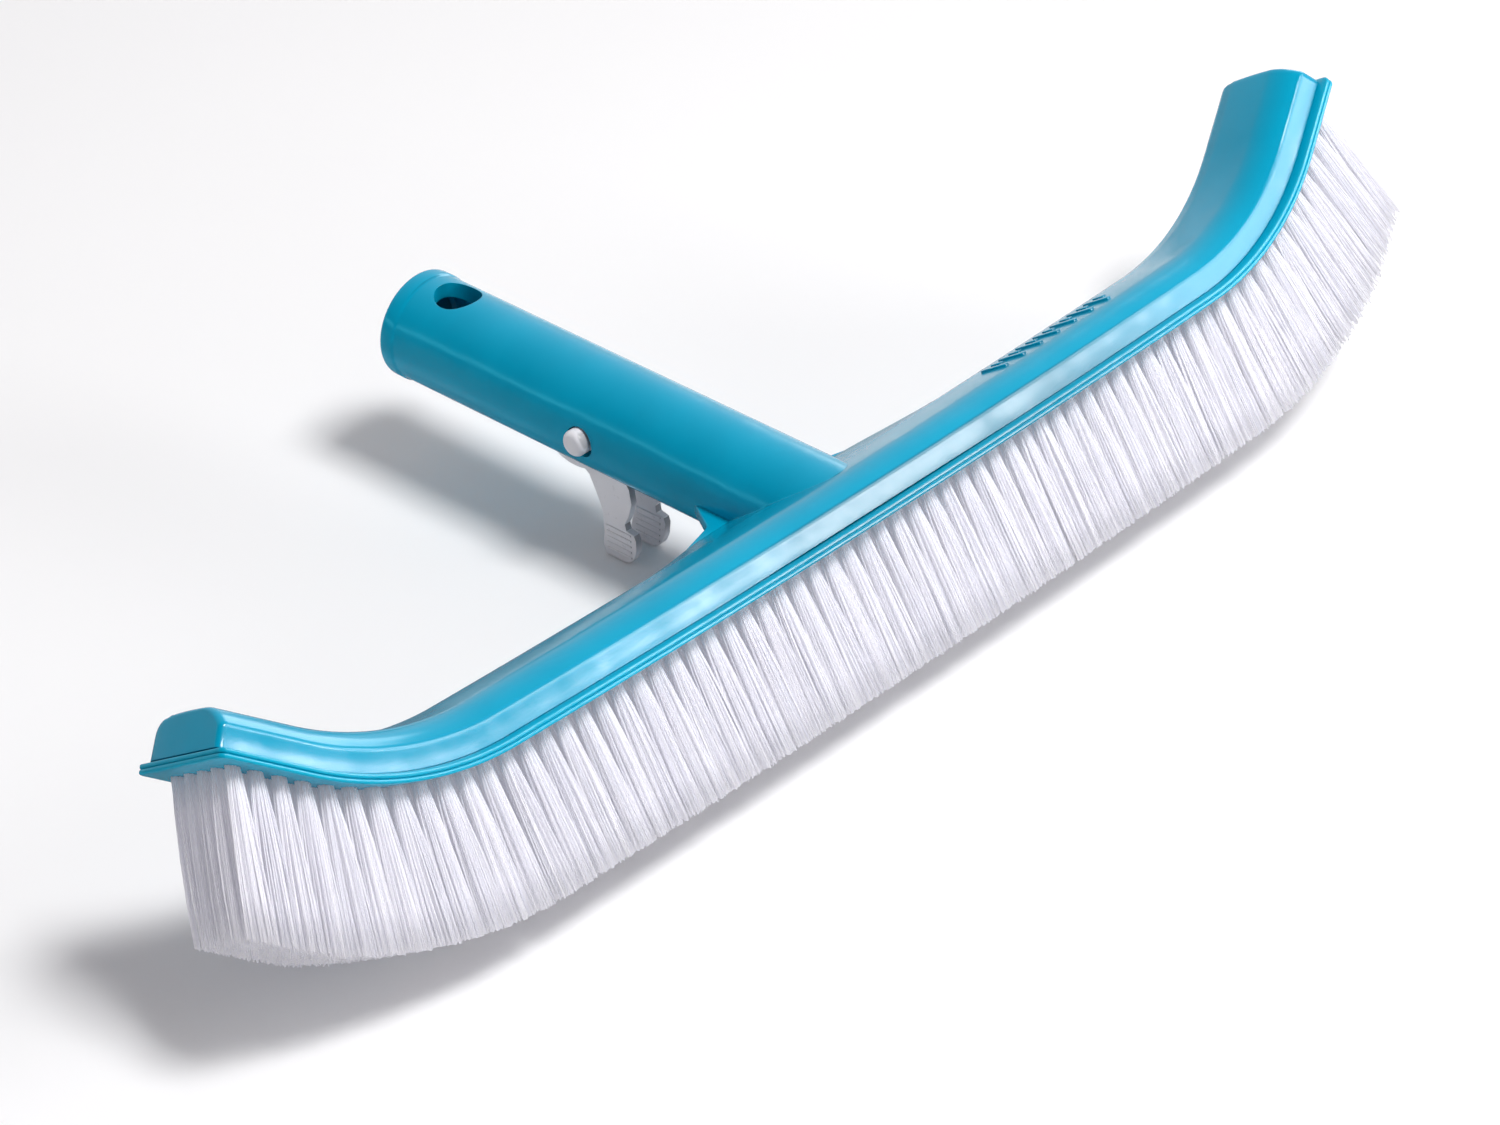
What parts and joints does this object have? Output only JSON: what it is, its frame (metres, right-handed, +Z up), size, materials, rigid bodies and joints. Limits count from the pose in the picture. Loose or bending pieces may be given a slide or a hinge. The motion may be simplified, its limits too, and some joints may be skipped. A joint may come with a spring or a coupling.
{
  "type": "pool wall brush",
  "caption": "Curved pool wall brush head with upswept ends, nylon bristle rows and a tubular handle whose spring clip pins lock it into a telescopic pole.",
  "frame": {"origin": "middle of the bounding box in plan, on the floor the brush stands on", "axes": "+X along the head, +Y along the handle towards its free end, +Z up with the handle level and the head leaning forward on its bristle tips"},
  "size_m": [0.4262, 0.18, 0.0808],
  "materials": {
    "head_plastic": "glossy moulded polypropylene",
    "block_plastic": "glossy moulded polypropylene",
    "bristle": "translucent white nylon filament",
    "clip_plastic": "white springy moulded plastic"
  },
  "bodies": {
    "brush": {"head_and_handle": "head_plastic", "bristle_block": "block_plastic", "bristle_row_front": "bristle", "bristle_row_second": "bristle", "bristle_row_middle": "bristle", "bristle_row_fourth": "bristle", "bristle_row_back": "bristle", "clip_bend": "clip_plastic"},
    "left_arm": {"clip_arm_left": "clip_plastic"},
    "right_arm": {"clip_arm_right": "clip_plastic"}
  },
  "joints": [
    {"name": "left_pin_release", "type": "hinge", "parent": "brush", "child": "left_arm", "pos_m": [-0.0053, 0.05642, 0.03775], "axis": [0, 0, 1], "range_deg": [0, 3.7]},
    {"name": "right_pin_release", "type": "hinge", "parent": "brush", "child": "right_arm", "pos_m": [0.0053, 0.05642, 0.03775], "axis": [0, 0, 1], "range_deg": [-3.7, 0]}
  ],
  "couplings": [
    {"joint": "right_pin_release", "follows": "left_pin_release", "ratio": -1}
  ]
}
